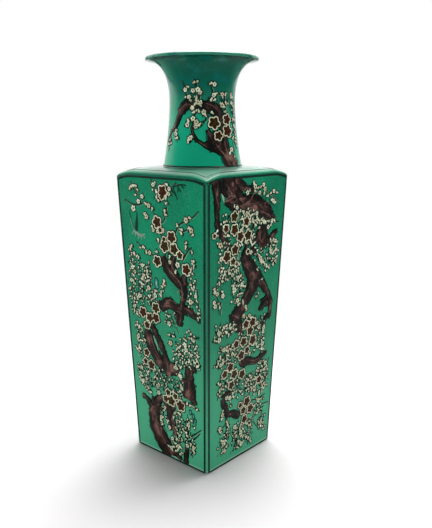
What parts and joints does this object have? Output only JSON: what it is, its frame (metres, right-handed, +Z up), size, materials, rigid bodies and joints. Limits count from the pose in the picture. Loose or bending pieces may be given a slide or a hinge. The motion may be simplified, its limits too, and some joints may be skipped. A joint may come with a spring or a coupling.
{
  "type": "square vase",
  "caption": "Tall square vase of glazed porcelain with tapering flat sides, low domed shoulder and round trumpet neck, painted with flowering prunus branches.",
  "frame": {"origin": "on the vase's axis, at the level of the surface that it stands on", "axes": "+Z up along the axis; the flat sides face -Y (front), +X (right), +Y (back) and -X (left)"},
  "size_m": [0.1494, 0.1494, 0.49],
  "materials": {
    "green_glaze": "glossy translucent green lead glaze",
    "biscuit": "unglazed porcelain, matt",
    "aubergine_enamel": "glossy brown-black enamel of the branches",
    "cream_enamel": "glossy cream enamel of blossoms and buds",
    "turquoise_enamel": "glossy blue-green enamel of leaves and birds",
    "black_line": "painted dark outline under the glaze"
  },
  "bodies": {
    "root": {"wall_front": "green_glaze", "wall_right": "green_glaze", "wall_back": "green_glaze", "wall_left": "green_glaze", "shoulder": "green_glaze", "neck": "green_glaze", "base_slab": "biscuit", "foot_strip_front": "biscuit", "foot_strip_right": "biscuit", "foot_strip_back": "biscuit", "foot_strip_left": "biscuit", "base_roll_front": "biscuit", "base_roll_right": "biscuit", "base_roll_back": "biscuit", "base_roll_left": "biscuit", "corner_roll_front_right": "biscuit", "corner_roll_right_back": "biscuit", "corner_roll_back_left": "biscuit", "corner_roll_left_front": "biscuit"}
  },
  "joints": []
}
